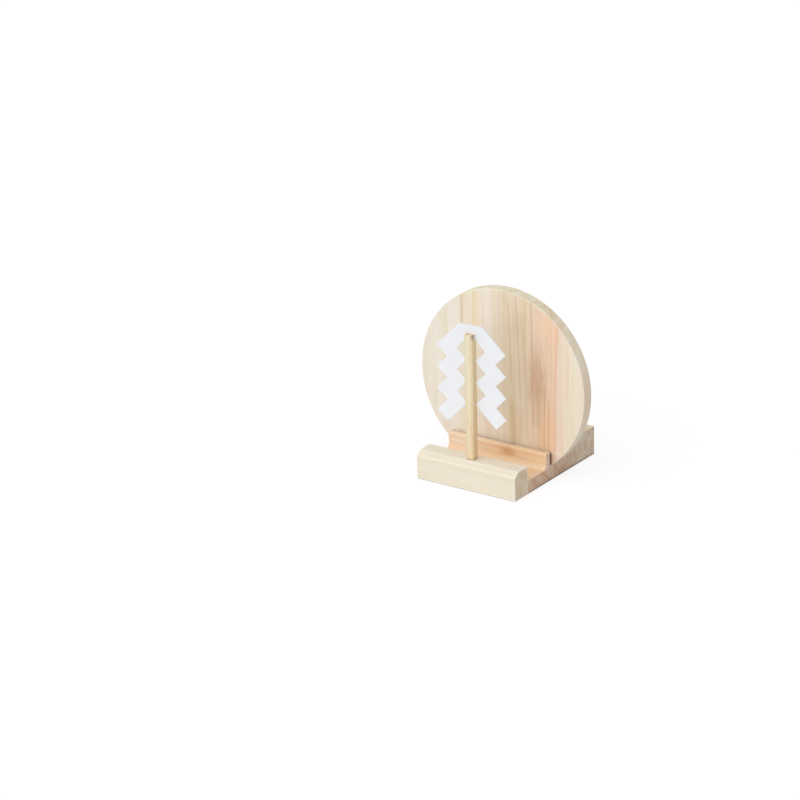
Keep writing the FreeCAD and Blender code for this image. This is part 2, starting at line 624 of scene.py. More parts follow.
@dataclass(frozen=True)
class BareWood:
    """Planed and sanded wood with no coating. Its sizes are in millimetres."""

    name: str
    grain: Grain
    pith: tuple[float, float]
    bands: tuple[Band, ...]
    latewood_tint: Colour
    latewood_strength: float
    streak_tint: Colour
    streak_strength: float
    blush_tint: Colour = paint(250, 236, 230)
    streak_width: float = 1.7
    end_colour: Colour = paint(226, 212, 194)
    end_cover: float = 0.6
    ring_width: float = 2.0
    waver: float = 2.5
    lean: float = 0.0
    straight_at: float = 0.0
    middle: float = 0.0
    stains: tuple[Stain, ...] = ()
    veins: tuple[Vein, ...] = ()
    end_stains: tuple[Stain, ...] = ()
    mottle_tint: Colour = paint(226, 205, 184)
    # Painted shade in tight corners and grooves: its tint, and how far out a neighbour counts, in
    # millimetres
    crevice_shade_tint: Colour = paint(182, 144, 114)
    crevice_shade_reach: float = 6.0
    roughness: float = 0.58
    relief: float = 0.02
    # The pale band along eased edges: wear from sanding and handling, with a painted highlight on
    # it
    edge_mark_width: float = 0.9
    worn_and_highlit_edge_colour: Colour = paint(250, 246, 236)
    edge_mark_cover: float = 0.35

    def ground(self, wiring: Wiring, across: Socket) -> Sockets:
        """The board's colour before its rings, from its bands.

        Args:
            wiring: The material's graph.
            across: Distance from the pith over the board's width.

        Returns:
            Color, and the rings' strength as Alpha.
        """
        first, last = self.bands[0].place, self.bands[-1].place
        limits = {"From Min": first - self.pith[0], "From Max": last - self.pith[0]}
        share = wiring.first("ShaderNodeMapRange", {"Value": across, **limits})
        ramp = wiring.node("ShaderNodeValToRGB", {"Fac": share})
        stops = ramp.color_ramp.elements
        stops[0].color = self.bands[0].stop
        stops[1].color = self.bands[-1].stop
        for band in self.bands[1:-1]:
            stops.new((band.place - first) / (last - first)).color = band.stop
        return by_name(ramp)

    def stained(
        self, wiring: Wiring, colour: Socket, place: Socket, stains: tuple[Stain, ...]
    ) -> Socket:
        """Lays patches of another tone on the wood.

        Args:
            wiring: The material's graph.
            colour: The colour so far.
            place: The place in the log.
            stains: The patches.

        Returns:
            The socket with the colour.
        """
        for stain in stains:
            middle = tuple(spot - pith for spot, pith in zip(stain.middle, (*self.pith, 0.0)))
            feeds = {"Vector": place, "Middle": middle, "Reach": stain.reach}
            patch = WOOD_STAIN.place(wiring, feeds)
            colour = wiring.lay(colour, stain.colour, patch["Mask"], stain.cover)
        return colour

    def veined(self, wiring: Wiring, colour: Socket, place: Socket, across: Socket) -> Socket:
        """Lays the board's stronger lines on the wood.

        Args:
            wiring: The material's graph.
            colour: The colour so far.
            place: The place in the log.
            across: Distance from the pith over the board's width.

        Returns:
            The socket with the colour.
        """
        along = wiring.node("ShaderNodeSeparateXYZ", {0: place}).outputs["Z"]
        for vein in self.veins:
            feeds = {
                "Across": across,
                "Along": along,
                "Place": vein.place - self.pith[0],
                "Half Width": vein.half_width,
                "Start": vein.start,
                "End": vein.end,
                "Fade": vein.fade,
            }
            line = WOOD_VEIN.place(wiring, feeds)
            colour = wiring.lay(colour, vein.colour, line["Mask"], vein.cover)
        return colour

    def material(self) -> bpy.types.Material:
        """Builds the finish.

        Returns:
            The material.
        """
        made, wiring = start_material(self.name)
        place = wiring.in_millimetres(self.grain.value, (-self.pith[0], -self.pith[1], 0.0))
        feeds = {
            "Vector": place,
            "Ring Width": self.ring_width,
            "Streak Width": self.streak_width,
            "Waver": self.waver,
            "Lean": self.lean,
            "Straight At": self.straight_at - self.pith[0],
            "Middle": self.middle,
        }
        figure = WOOD_FIGURE.place(wiring, feeds)
        ends = CUT_ENDS.place(wiring, {"Vector": place, "Grain": self.grain.direction})
        edge_mark = WORN_AND_HIGHLIT_EDGES.place(wiring, {"Vector": place, "Width": self.edge_mark_width * MM})
        tight = PAINTED_CREVICE_SHADE.place(wiring, {"Reach": self.crevice_shade_reach * MM})
        across, latewood, fibre = figure["Across"], figure["Latewood"], figure["Fibre"]

        ground = self.ground(wiring, across)
        colour = self.stained(wiring, ground["Color"], place, self.stains)
        colour = self.veined(wiring, colour, place, across)
        colour = wiring.lay(colour, self.end_colour, ends["Mask"], self.end_cover)
        colour = self.stained(wiring, colour, place, self.end_stains)
        colour = wiring.glaze(colour, self.mottle_tint, ends["Mottle"])
        blush = wiring.rise(figure["Drift"], *BLUSH_STEP)
        tint = wiring.lay(self.streak_tint, self.blush_tint, blush)
        streak = wiring.rise(figure["Streak"], *STREAK_STEP)
        colour = wiring.glaze(colour, tint, streak, self.streak_strength)
        shown = wiring.math("MULTIPLY_ADD", ends["Mask"], END_RINGS, ground["Alpha"])
        late = wiring.math("MULTIPLY", latewood, shown)
        colour = wiring.glaze(colour, self.latewood_tint, late, self.latewood_strength)
        colour = wiring.glaze(colour, FIBRE_TINT, wiring.rise(fibre, *FIBRE_STEP), FIBRE_COVER)
        colour = wiring.glaze(colour, PORE_TINT, ends["Pores"])
        # Painted highlight along the eased edges, over their wear
        colour = wiring.lay(colour, self.worn_and_highlit_edge_colour, edge_mark["Mask"], self.edge_mark_cover)
        # Painted shade: darker in tight corners and grooves
        colour = wiring.glaze(colour, self.crevice_shade_tint, tight["Mask"])

        rough = wiring.math("MULTIPLY_ADD", ends["Mask"], END_ROUGHNESS, self.roughness)
        rough = wiring.math("MULTIPLY_ADD", latewood, LATEWOOD_ROUGHNESS, rough)
        rough = wiring.math("MULTIPLY_ADD", fibre, FIBRE_ROUGHNESS, rough)
        height = wiring.math("MULTIPLY", fibre, FIBRE_HEIGHT)
        height = wiring.math("MULTIPLY_ADD", latewood, LATEWOOD_HEIGHT, height)
        height = wiring.math("MULTIPLY_ADD", ends["Pores"], PORE_HEIGHT, height)
        wiring.surface(colour, rough, height, self.relief * MM)
        return made


@dataclass(frozen=True)
class WhiteCard:
    """Stiff uncoated card with a faint felt of fibres. Its sizes are in millimetres."""

    name: str
    sheet: Colour
    shade: Colour
    felt: float = 0.5
    cloud: float = 14.0
    mottle: float = 0.3
    edge_mark_width: float = 0.35
    edge_mark_cover: float = 0.5
    relief: float = 0.012
    roughness: float = 0.72
    felt_roughness: float = 0.12

    def material(self) -> bpy.types.Material:
        """Builds the finish.

        Returns:
            The material.
        """
        made, wiring = start_material(self.name)
        place = wiring.in_millimetres()
        felt = wiring.noise(place, (self.felt,) * 3, detail=4.0).outputs[0]
        cloud = wiring.noise(place, (self.cloud,) * 3).outputs[0]
        edge_mark = WORN_AND_HIGHLIT_EDGES.place(wiring, {"Vector": place, "Width": self.edge_mark_width * MM})
        fine, wide = wiring.rise(felt, *FELT_STEP), wiring.rise(cloud, *CARD_CLOUD_STEP)
        colour = wiring.lay(self.sheet, self.shade, wiring.math("ADD", fine, wide), self.mottle)
        colour = wiring.lay(colour, self.shade, edge_mark["Mask"], self.edge_mark_cover)
        rough = wiring.math("MULTIPLY_ADD", felt, self.felt_roughness, self.roughness)
        wiring.surface(colour, rough, felt, self.relief * MM)
        return made


PALE_WOOD = BareWood(
    name="pale_block_wood",
    grain=Grain.ALONG_WIDTH,
    pith=(-130.0, -80.0),
    bands=(
        Band(-52.0, paint(240, 233, 216)),
        # Painted shade: the band across the sloped edge is a little darker, to offset the extra
        # light the slope catches
        Band(-48.0, paint(234, 228, 213)),
        Band(-45.0, paint(238, 231, 216)),
        Band(-40.0, paint(240, 232, 218)),
        Band(-35.0, paint(239, 231, 216)),
    ),
    latewood_tint=paint(244, 232, 208),
    latewood_strength=0.36,
    streak_tint=paint(246, 242, 224),
    streak_strength=0.5,
    blush_tint=paint(250, 238, 230),
    streak_width=2.2,
    end_colour=paint(236, 224, 206),
    mottle_tint=paint(242, 234, 222),
    ring_width=1.5,
    # A strong painted highlight along the block's eased edges, over their wear
    edge_mark_width=2.4,
    worn_and_highlit_edge_colour=paint(251, 246, 229),
    edge_mark_cover=0.85,
)

WARM_WOOD = BareWood(
    name="warm_base_wood",
    grain=Grain.ALONG_WIDTH,
    pith=(-75.0, -70.0),
    bands=(
        Band(-36.0, paint(247, 229, 205)),
        Band(-13.0, paint(245, 220, 189)),
        Band(-9.0, paint(244, 217, 182)),
        Band(-5.0, paint(242, 220, 192)),
        Band(10.0, paint(242, 223, 198)),
        Band(30.0, paint(255, 243, 218), 0.4),
        Band(52.0, paint(255, 241, 216), 0.4),
    ),
    latewood_tint=paint(240, 210, 176),
    latewood_strength=0.5,
    streak_tint=paint(248, 232, 206),
    streak_strength=0.5,
    blush_tint=paint(250, 228, 210),
    end_colour=paint(232, 220, 208),
    end_cover=0.85,
    mottle_tint=paint(241, 229, 221),
    stains=(
        Stain((-10.0, 17.0, 9.0), (12.0, 5.0, 10.0), paint(210, 160, 110), 0.72),
        Stain((-10.0, 17.0, -26.0), (12.0, 8.0, 22.0), paint(252, 238, 222), 0.9),
    ),
    end_stains=(
        Stain((-27.0, 5.0, 41.0), (13.0, 8.0, 3.0), paint(222, 188, 168), 0.75),
        Stain((6.0, 3.0, 41.0), (26.0, 8.0, 3.0), paint(220, 192, 168), 0.75),
        # Painted shade: a dark line along the bottom of the side, where it meets the floor
        Stain((0.0, 0.2, 41.0), (150.0, 1.5, 3.0), paint(138, 116, 100), 0.8),
    ),
    ring_width=1.6,
    waver=3.0,
    # Painted highlight along the board's eased edges, over their wear
    edge_mark_width=1.1,
    worn_and_highlit_edge_colour=paint(252, 238, 218),
    edge_mark_cover=0.55,
)

BACKBOARD_WOOD = BareWood(
    name="figured_backboard_wood",
    grain=Grain.UPRIGHT,
    pith=(150.0, 90.0),
    bands=(
        Band(-70.0, paint(242, 236, 224), 0.3),
        Band(-40.0, paint(243, 236, 223), 0.4),
        Band(-27.0, paint(244, 235, 218), 0.6),
        Band(-20.0, paint(246, 235, 217), 0.4),
        Band(-12.0, paint(244, 235, 222), 0.3),
        Band(-1.4, paint(241, 228, 213), 0.4),
        Band(0.4, paint(237, 223, 202), 1.0),
        Band(5.0, paint(237, 223, 201), 1.3),
        Band(14.0, paint(239, 224, 203), 1.6),
        Band(22.0, paint(240, 221, 198), 1.4),
        Band(30.0, paint(238, 214, 190), 1.2),
        Band(36.0, paint(239, 212, 187), 1.3),
        Band(41.0, paint(244, 216, 192), 1.0),
        Band(43.6, paint(245, 215, 190), 0.8),
        Band(46.4, paint(243, 223, 205), 0.4),
        Band(57.0, paint(245, 235, 216), 0.3),
        Band(65.5, paint(242, 228, 210), 0.3),
        Band(70.0, paint(237, 214, 182), 0.3),
    ),
    latewood_tint=paint(240, 222, 192),
    latewood_strength=0.34,
    streak_tint=paint(244, 238, 216),
    streak_strength=0.55,
    blush_tint=paint(248, 234, 226),
    streak_width=4.2,
    # The rim's end grain is its own tone made paler by a painted sheen, for the white surroundings
    # it reflects at a grazing view
    end_colour=paint(248, 247, 230),
    end_cover=0.8,
    mottle_tint=paint(246, 242, 232),
    stains=(
        Stain((29.0, 0.0, 70.0), (9.5, 20.0, 38.0), paint(211, 171, 143), 0.72),
        Stain((39.0, 0.0, 113.0), (12.0, 20.0, 17.0), paint(251, 215, 188), 0.8),
        Stain((38.0, 0.0, 34.0), (10.0, 20.0, 24.0), paint(250, 208, 172), 0.7),
        Stain((12.0, 0.0, 34.0), (8.0, 20.0, 20.0), paint(226, 204, 163), 0.5),
        Stain((14.0, 0.0, 110.0), (11.0, 20.0, 18.0), paint(222, 204, 178), 0.55),
        Stain((-12.0, 0.0, 32.0), (16.0, 20.0, 14.0), paint(249, 234, 220), 0.6),
        # Painted light: a lighter strip along the disc's face just above the rail, which lifts the
        # groove's shade
        Stain((0.0, -4.2, 19.9), (150.0, 3.0, 2.1), paint(252, 240, 218), 0.75),
    ),
    veins=(
        Vein(-33.0, 2.2, 92.0, 140.0, paint(226, 196, 162), 0.65),
        Vein(-23.2, 2.6, 90.0, 150.0, paint(245, 228, 180), 0.65),
        Vein(-19.8, 1.9, 90.0, 150.0, paint(249, 222, 188), 0.6),
        Vein(-1.6, 0.8, 92.0, 136.0, paint(220, 196, 168), 0.5),
        Vein(7.0, 3.8, -10.0, 60.0, paint(214, 186, 146), 0.5),
        Vein(7.6, 1.5, 60.0, 132.0, paint(212, 186, 150), 0.5),
        Vein(14.5, 1.3, 50.0, 136.0, paint(216, 192, 158), 0.5),
        Vein(19.2, 1.2, 20.0, 116.0, paint(212, 186, 146), 0.5),
        Vein(25.2, 1.4, 30.0, 140.0, paint(214, 176, 142), 0.55),
        Vein(35.0, 1.4, 14.0, 78.0, paint(216, 166, 124), 0.65),
        Vein(39.0, 1.2, 10.0, 66.0, paint(216, 164, 120), 0.65),
        Vein(44.3, 2.1, 8.0, 126.0, paint(240, 190, 156), 0.55),
        Vein(54.0, 2.0, 54.0, 102.0, paint(241, 214, 186), 0.6),
        # Painted shade: dark strips on the disc's face at both ends of the talisman groove, where
        # the rail shades it
        Vein(40.9, 2.3, 0.0, 21.4, paint(116, 80, 54), 0.85, 3.0),
        Vein(-40.9, 2.3, 0.0, 21.4, paint(116, 80, 54), 0.85, 3.0),
    ),
    ring_width=1.9,
    waver=3.0,
    lean=0.09,
    straight_at=31.0,
    middle=72.0,
    # Painted highlight along the rim's front edge, over its wear
    edge_mark_width=1.6,
    edge_mark_cover=0.6,
    crevice_shade_reach=3.5,
)

STICK_WOOD = BareWood(
    name="stick_wood",
    grain=Grain.UPRIGHT,
    pith=(-40.0, -90.0),
    bands=(
        Band(-3.2, paint(238, 230, 202)),
        Band(-1.0, paint(241, 234, 208)),
        Band(1.2, paint(241, 232, 204)),
        Band(3.2, paint(238, 221, 184)),
    ),
    latewood_tint=paint(236, 212, 168),
    latewood_strength=0.6,
    streak_tint=paint(248, 236, 206),
    streak_strength=0.5,
    stains=(
        Stain((2.0, -43.0, 32.0), (7.0, 9.0, 32.0), paint(238, 206, 166), 0.7),
        # Painted shade: a dark ring at the stick's foot, where it enters the block
        Stain((0.0, -43.2, 20.6), (14.0, 14.0, 1.4), paint(158, 122, 84), 0.75),
        # Painted shade: the top of the stick's right side, in front of the card, is darker
        Stain((3.6, -45.0, 112.8), (1.5, 12.0, 4.4), paint(156, 138, 122), 0.8),
    ),
    veins=(Vein(2.2, 0.35, 0.0, 130.0, paint(214, 180, 130), 0.6),),
    ring_width=1.4,
    waver=1.0,
    edge_mark_width=0.3,
)

STREAMER_CARD = WhiteCard(
    name="white_card",
    sheet=paint(243, 245, 248),
    shade=paint(236, 238, 243),
)


# Shapes

# Facets round a rounded corner of an outline, and round the rim of a face
ROUNDING_FACETS = 6
RIM_FACETS = 4

# Edges that turn further than this stay crisp; the weight leaves flat faces flat
SHARP_FROM = math.radians(32)
FLAT_FACE_WEIGHT = 90

# Points closer than this are made one
WELD_DISTANCE = 0.01 * MM


class Drawing(Enum):
    """The plane a piece's outline is drawn in; its thickness runs along the axis that is left."""

    SIDE = "depth and height"
    FRONT = "width and height"

    def place(self, along: float, height: float, through: float) -> Vector:
        """A point of the piece, from its two drawn measures and its place through the thickness."""
        if self is Drawing.SIDE:
            return Vector((through, along, height))
        return Vector((along, through, height))


@dataclass(frozen=True)
class Corner:
    """One corner of an outline, with the radius that rounds it."""

    along: float
    height: float
    radius: float = 0.0


def rounded(corners: list[Corner]) -> Outline:
    """The outline through a list of corners, each with its own rounding.

    Args:
        corners: The corners in order round the outline.

    Returns:
        The outline's points.
    """
    spots = [Vector((corner.along, corner.height)) for corner in corners]
    outline = []
    for index, corner in enumerate(corners):
        spot = spots[index]
        if corner.radius == 0:
            outline.append(spot)
            continue
        back = (spots[index - 1] - spot).normalized()
        ahead = (spots[(index + 1) % len(spots)] - spot).normalized()
        half_angle = back.angle(ahead) / 2
        centre = spot + (back + ahead).normalized() * corner.radius / math.sin(half_angle)
        start = spot + back * corner.radius / math.tan(half_angle) - centre
        finish = spot + ahead * corner.radius / math.tan(half_angle) - centre
        sweep = start.angle_signed(finish)
        for step in range(ROUNDING_FACETS + 1):
            turn = Matrix.Rotation(-sweep * step / ROUNDING_FACETS, 2)
            outline.append(centre + turn @ start)
    return outline


def inset(outline: Outline, depth: float) -> Outline:
    """An outline that runs anticlockwise, drawn in from its edges.

    Args:
        outline: The outline's points.
        depth: How far in.

    Returns:
        As many points, moved along their mitres.
    """
    drawn = []
    for index, spot in enumerate(outline):
        arriving = (spot - outline[index - 1]).normalized()
        leaving = (outline[(index + 1) % len(outline)] - spot).normalized()
        inward = Vector((-arriving.y, arriving.x))
        next_inward = Vector((-leaving.y, leaving.x))
        drawn.append(spot + (inward + next_inward) * depth / (1 + inward.dot(next_inward)))
    return drawn


def anticlockwise(outline: Outline) -> Outline:
    """The outline turned round if it runs clockwise."""
    area = sum(outline[index - 1].cross(spot) for index, spot in enumerate(outline))
    return outline if area > 0 else outline[::-1]


def eased_slab(
    name: str,
    outline: Outline,
    drawing: Drawing,
    start: float,
    end: float,
    ease: float,
    steps: int = RIM_FACETS,
) -> bpy.types.Object:
    """A closed solid of even thickness whose two faces have rounded rims.

    Args:
        name: The piece's name.
        outline: Its outline.
        drawing: The plane that the outline is drawn in.
        start: Where the thickness starts.
        end: Where the thickness ends.
        ease: Radius of the rims.
        steps: How many facets round a rim.

    Returns:
        The object, with its place in its mesh.
    """
    outline = anticlockwise(outline)
    levels = []
    for step in range(steps + 1):
        angle = math.pi / 2 * step / steps
        drawn = inset(outline, ease * (1 - math.cos(angle)))
        levels.append((drawn, ease * (1 - math.sin(angle))))
    rings = [(drawn, start + gap) for drawn, gap in reversed(levels)]
    rings += [(drawn, end - gap) for drawn, gap in levels]
    shape = bmesh.new()
    loops = []
    for drawn, through in rings:
        loops.append([shape.verts.new(drawing.place(spot.x, spot.y, through)) for spot in drawn])
    for near, far in zip(loops, loops[1:]):
        for index in range(len(outline)):
            shape.faces.new((near[index - 1], near[index], far[index], far[index - 1]))
    shape.faces.new(reversed(loops[0]))
    shape.faces.new(loops[-1])
    bmesh.ops.recalc_face_normals(shape, faces=shape.faces)
    mesh = bpy.data.meshes.new(name)
    shape.to_mesh(mesh)
    shape.free()
    return add_object(name, mesh)


def add_object(name: str, data: bpy.types.ID) -> bpy.types.Object:
    """Puts a mesh, camera or lamp into the scene under a name."""
    made = bpy.data.objects.new(name, data)
    bpy.context.scene.collection.objects.link(made)
    return made


def settle(piece: bpy.types.Object) -> None:
    """Turns what a piece's modifiers make into its plain mesh, and removes them."""
    bpy.context.view_layer.update()
    shown = piece.evaluated_get(bpy.context.evaluated_depsgraph_get())
    mesh = bpy.data.meshes.new_from_object(shown)
    piece.modifiers.clear()
    piece.data = mesh
    mesh.name = piece.name


def smooth(piece: bpy.types.Object) -> None:
    """Shades rounded rims smoothly and keeps flat faces flat and inner corners crisp."""
    for face in piece.data.polygons:
        face.use_smooth = True
    piece.data.set_sharp_from_angle(angle=SHARP_FROM)
    weighting = piece.modifiers.new("flat_faces_first", "WEIGHTED_NORMAL")
    weighting.keep_sharp = True
    weighting.weight = FLAT_FACE_WEIGHT
    settle(piece)


def hand_over(
    piece: bpy.types.Object, node: str, material: bpy.types.Material
) -> None:
    """Shades and dresses a finished piece and puts it in its node's place.

    Args:
        piece: The finished object.
        node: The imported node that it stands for.
        material: Its finish.
    """
    smooth(piece)
    piece.data.materials.clear()
    piece.data.materials.append(material)
    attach(piece, "root")
    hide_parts(node)
    low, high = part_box(node)
    spots = [vertex.co for vertex in piece.data.vertices]
    stray = 0.0
    for axis in range(3):
        stray = max(stray, abs(min(spot[axis] for spot in spots) - low[axis]))
        stray = max(stray, abs(max(spot[axis] for spot in spots) - high[axis]))
    faces = len(piece.data.polygons)
    log.info("%s: %d faces, %.3f mm from %s's box", piece.name, faces, stray / MM, node)


# Pieces


@dataclass(frozen=True)
class Stance:
    """How the stick stands: turned a little about its own axis, with the card in its slot."""

    side: float = 6.0 * MM
    turn: float = math.radians(4.5)
    tenon_clearance: float = 0.1 * MM
    cheek: float = 3.5 * MM
    slot_depth: float = 4.0 * MM
    card_thickness: float = 0.8 * MM
    card_clearance: float = 0.05 * MM

    @property
    def slot_front(self) -> float:
        """The slot's front wall, measured back from the stick's axis."""
        return self.cheek - self.side / 2

    @property
    def card_front(self) -> float:
        """The card's front face, measured back from the stick's axis."""
        return self.slot_front + self.card_clearance

    @property
    def slot_back(self) -> float:
        """The slot's back wall, measured back from the stick's axis."""
        return self.card_front + self.card_thickness + self.card_clearance

    def place(self, piece: bpy.types.Object) -> None:
        """Moves a piece that is drawn about the stick's axis to where the stick stands.

        Args:
            piece: The object, whose mesh is moved and turned.
        """
        low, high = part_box("post")
        axis = Vector(((low.x + high.x) / 2, (low.y + high.y) / 2, 0.0))
        piece.data.transform(Matrix.Translation(axis) @ Matrix.Rotation(self.turn, 4, "Z"))


@dataclass
class Base:
    """The two boards underneath: the pale front block and the grooved board behind it."""

    chamfer_rise: float = 3.5 * MM
    chamfer_run: float = 4.7 * MM
    trough_floor_height: float = 10.0 * MM
    trough_width: float = 24.0 * MM
    trough_corner_radius: float = 3.0 * MM
    rail_thickness: float = 4.6 * MM
    eased_edge: float = 0.5 * MM
    end_ease: float = 0.22 * MM
    foot_ease: float = 0.5 * MM
    mortise_ease: float = 0.02 * MM
    stance: Stance = Stance()

    def front_block(self) -> bpy.types.Object:
        """The bar along the front, with its sloped edge and the stick's mortise.

        Returns:
            The plain piece.
        """
        low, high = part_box("front_block")
        outline = rounded([
            Corner(low.y, low.z, self.foot_ease),
            Corner(high.y, low.z, self.foot_ease),
            Corner(high.y, high.z, self.eased_edge),
            Corner(low.y + self.chamfer_run, high.z, self.eased_edge),
            Corner(low.y, high.z - self.chamfer_rise, self.eased_edge),
        ])
        block = eased_slab("pale_front_block", outline, Drawing.SIDE, low.x, high.x, self.end_ease)
        self.cut_mortise(block)
        return block

    def cut_mortise(self, block: bpy.types.Object) -> None:
        """Cuts the square hole that the stick stands in.

        Args:
            block: The front block, which is changed.
        """
        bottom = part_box("post")[0].z
        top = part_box("front_block")[1].z + self.eased_edge
        reach = self.stance.side / 2 + self.stance.tenon_clearance
        corners = ((-reach, bottom), (reach, bottom), (reach, top), (-reach, top))
        outline = [Vector(corner) for corner in corners]
        cutter = eased_slab("mortise", outline, Drawing.SIDE, -reach, reach, self.mortise_ease, 1)
        self.stance.place(cutter)
        cut = block.modifiers.new("mortise", "BOOLEAN")
        cut.operation = "DIFFERENCE"
        cut.solver = "EXACT"
        cut.object = cutter
        settle(block)
        bpy.data.objects.remove(cutter)

    def base_board(self) -> bpy.types.Object:
        """The grooved board: open trough, thin rail, groove for the backboard, rear block.

        Returns:
            The plain piece.
        """
        low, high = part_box("base_board")
        groove_floor_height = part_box("round_backboard")[0].z
        groove_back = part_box("round_backboard")[1].y
        trough_back = low.y + self.trough_width
        rail_back = trough_back + self.rail_thickness
        outline = rounded([
            Corner(low.y, low.z, self.foot_ease),
            Corner(high.y, low.z, self.foot_ease),
            Corner(high.y, high.z, self.eased_edge),
            Corner(groove_back, high.z, self.eased_edge),
            Corner(groove_back, groove_floor_height),
            Corner(rail_back, groove_floor_height),
            Corner(rail_back, high.z, self.eased_edge),
            Corner(trough_back, high.z, self.eased_edge),
            Corner(trough_back, self.trough_floor_height, self.trough_corner_radius),
            Corner(low.y, self.trough_floor_height),
        ])
        return eased_slab(
            "grooved_base_board", outline, Drawing.SIDE, low.x, high.x, self.end_ease
        )

    def build(self) -> None:
        """Makes and dresses both boards."""
        hand_over(self.front_block(), "front_block", PALE_WOOD.material())
        hand_over(self.base_board(), "base_board", WARM_WOOD.material())


@dataclass
class Backboard:
    """The upright disc with a flat foot."""

    rim_ease: float = 0.6 * MM
    facets: int = 240

    def outline(self) -> Outline:
        """The disc's outline, from one end of its foot round to the other.

        Returns:
            The outline's points.
        """
        low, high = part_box("round_backboard")
        radius = (high.x - low.x) / 2
        centre_height = high.z - radius
        foot_angle = math.acos((centre_height - low.z) / radius)
        sweep = 2 * (math.pi - foot_angle)
        outline = []
        for step in range(self.facets + 1):
            angle = foot_angle + sweep * step / self.facets
            spot = Vector((math.sin(angle), -math.cos(angle))) * radius
            outline.append(spot + Vector((0, centre_height)))
        return outline

    def build(self) -> None:
        """Makes and dresses the disc."""
        low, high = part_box("round_backboard")
        disc = eased_slab(
            "round_wood_backboard", self.outline(), Drawing.FRONT, low.y, high.y, self.rim_ease
        )
        hand_over(disc, "round_backboard", BACKBOARD_WOOD.material())


@dataclass
class Stick:
    """The square stick, slotted at its top for the streamer."""

    stance: Stance = Stance()
    edge_radius: float = 0.2 * MM
    end_ease: float = 0.12 * MM

    def build(self) -> None:
        """Makes and dresses the stick."""
        low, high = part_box("post")
        reach = self.stance.side / 2
        slot_floor = high.z - self.stance.slot_depth
        outline = rounded([
            Corner(-reach, low.z, self.edge_radius),
            Corner(reach, low.z, self.edge_radius),
            Corner(reach, high.z, self.edge_radius),
            Corner(self.stance.slot_back, high.z),
            Corner(self.stance.slot_back, slot_floor),
            Corner(self.stance.slot_front, slot_floor),
            Corner(self.stance.slot_front, high.z),
            Corner(-reach, high.z, self.edge_radius),
        ])
        stick = eased_slab("square_stick", outline, Drawing.SIDE, -reach, reach, self.end_ease)
        self.stance.place(stick)
        hand_over(stick, "post", STICK_WOOD.material())


RuleValue = Union[float, int, bpy.types.Material]

RULE_SOCKETS = {
    float: "NodeSocketFloat",
    int: "NodeSocketInt",
    bpy.types.Material: "NodeSocketMaterial",
}


